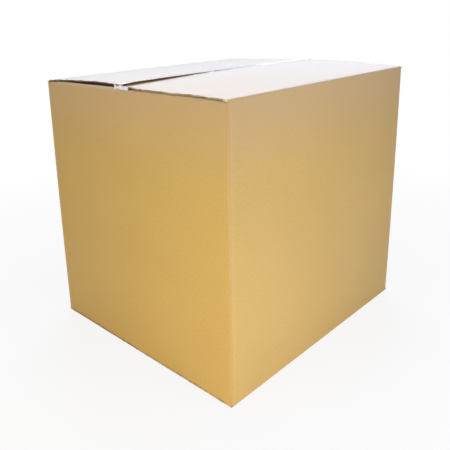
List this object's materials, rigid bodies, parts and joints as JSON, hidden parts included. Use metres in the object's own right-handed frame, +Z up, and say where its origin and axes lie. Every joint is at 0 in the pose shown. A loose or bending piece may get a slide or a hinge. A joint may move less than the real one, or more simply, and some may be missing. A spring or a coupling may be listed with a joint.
{
  "type": "corrugated cardboard shipping carton",
  "caption": "Large closed kraft cardboard carton with slotted flaps folded over and the top seam sealed with clear tape.",
  "frame": {"origin": "middle of the base, on the plane that the carton stands on", "axes": "+Z up; Y along the carton's length and the top seam, between the end walls; X across, between the side walls"},
  "size_m": [0.565, 0.6456, 0.614],
  "materials": {
    "kraft_board": "matt brown kraft liner with fine fibres, a soft sheen at low angles, and rougher cut edges",
    "clear_tape": "thin clear glossy packing film"
  },
  "bodies": {
    "root": {"carton_blank": "kraft_board", "top_tape": "clear_tape", "bottom_tape": "clear_tape"}
  },
  "joints": []
}
